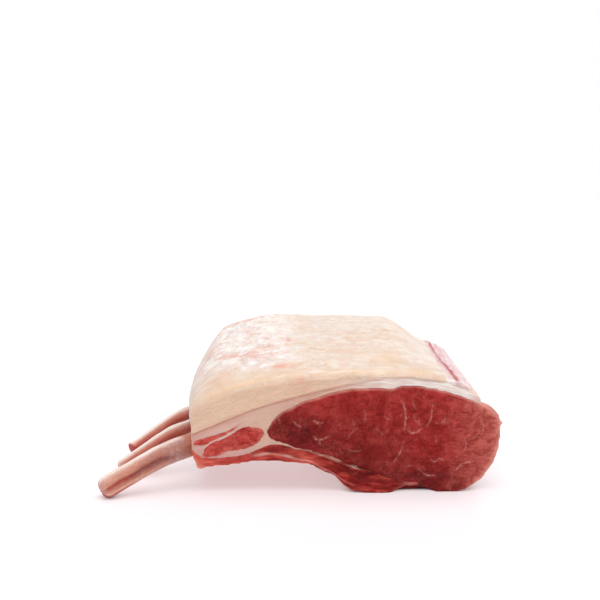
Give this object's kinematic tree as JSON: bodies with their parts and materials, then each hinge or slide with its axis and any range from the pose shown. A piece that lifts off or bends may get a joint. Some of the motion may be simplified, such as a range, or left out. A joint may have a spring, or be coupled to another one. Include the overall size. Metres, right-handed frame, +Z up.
{
  "type": "rack of lamb",
  "caption": "Raw rack of lamb with its fat cap on: a crowned block of loin, cap muscle and fat layers cut square at both ends, with scraped rib bones reaching down from one side to rest on their tips.",
  "frame": {"origin": "on the surface it rests on, under the middle of the part's box", "axes": "X runs across the rack from the bone tips (-X) to the chine side (+X), Y along the rack from the front cut (-Y) to the rear cut (+Y), Z up"},
  "size_m": [0.1362, 0.0904, 0.051],
  "materials": {
    "fat": "soft waxy raw fat, cream with pink flecks and papery white membrane",
    "seam_fat": "moist raw fat and fascia, pinkish cream, faintly layered",
    "loin": "moist cut muscle, deep red, fine grain with sparse pale veins",
    "cap_muscle": "moist cut muscle, lighter red",
    "chine_meat": "thin strip of red meat under a pale membrane",
    "rib_meat": "moist muscle between the ribs, red with pale fascia and a thin membrane below",
    "bone": "scraped raw bone, pinkish buff, smooth and slightly moist"
  },
  "bodies": {
    "root": {"outer_fat": "fat", "inner_fat": "seam_fat", "loin_eye": "loin", "cap_muscle": "cap_muscle", "cap_strip": "cap_muscle", "chine_strip": "chine_meat", "rib_meat": "rib_meat", "rib_bone_1": "bone", "rib_bone_2": "bone", "rib_bone_3": "bone"}
  },
  "joints": []
}
